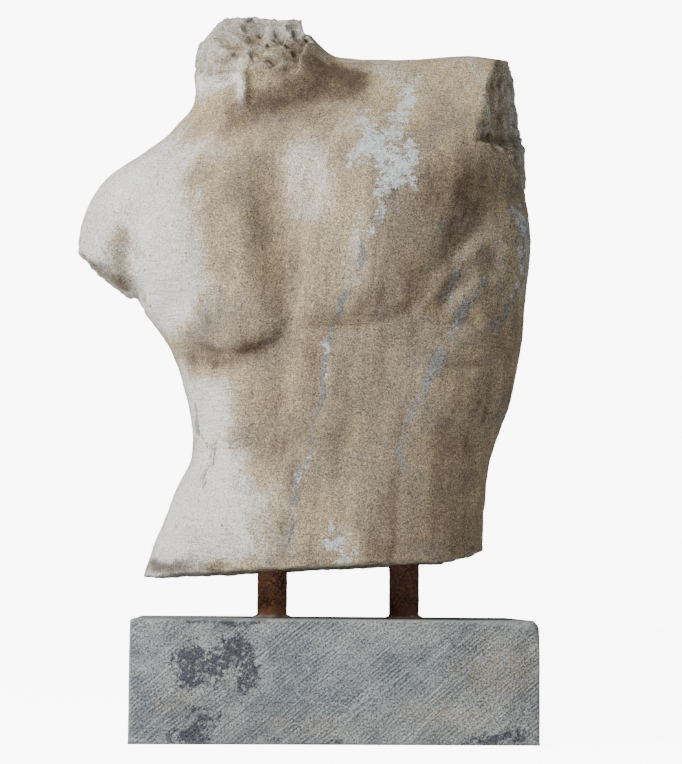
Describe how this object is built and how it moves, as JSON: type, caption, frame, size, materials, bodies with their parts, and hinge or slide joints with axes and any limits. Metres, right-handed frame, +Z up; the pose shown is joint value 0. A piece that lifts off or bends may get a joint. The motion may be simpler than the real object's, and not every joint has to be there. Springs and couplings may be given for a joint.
{
  "type": "marble torso sculpture",
  "caption": "Broken marble torso of a standing man with head, arms and legs lost, held by iron rods above a sawn block of grey stone.",
  "frame": {"origin": "middle of the block's underside", "axes": "+Z up, +X to the viewer's right along the block's width, -Y out of the breast towards the viewer"},
  "size_m": [0.4755, 0.261, 0.7649],
  "materials": {
    "marble": "weathered veined marble with a brown patina",
    "grey_stone": "sawn, unpolished grey stone",
    "rusty_iron": "rusted bar",
    "mortar": "rough lime mortar"
  },
  "bodies": {
    "root": {"torso": "marble", "plinth": "grey_stone", "rod_left": "rusty_iron", "rod_right": "rusty_iron", "mortar_left": "mortar", "mortar_right": "mortar"}
  },
  "joints": []
}
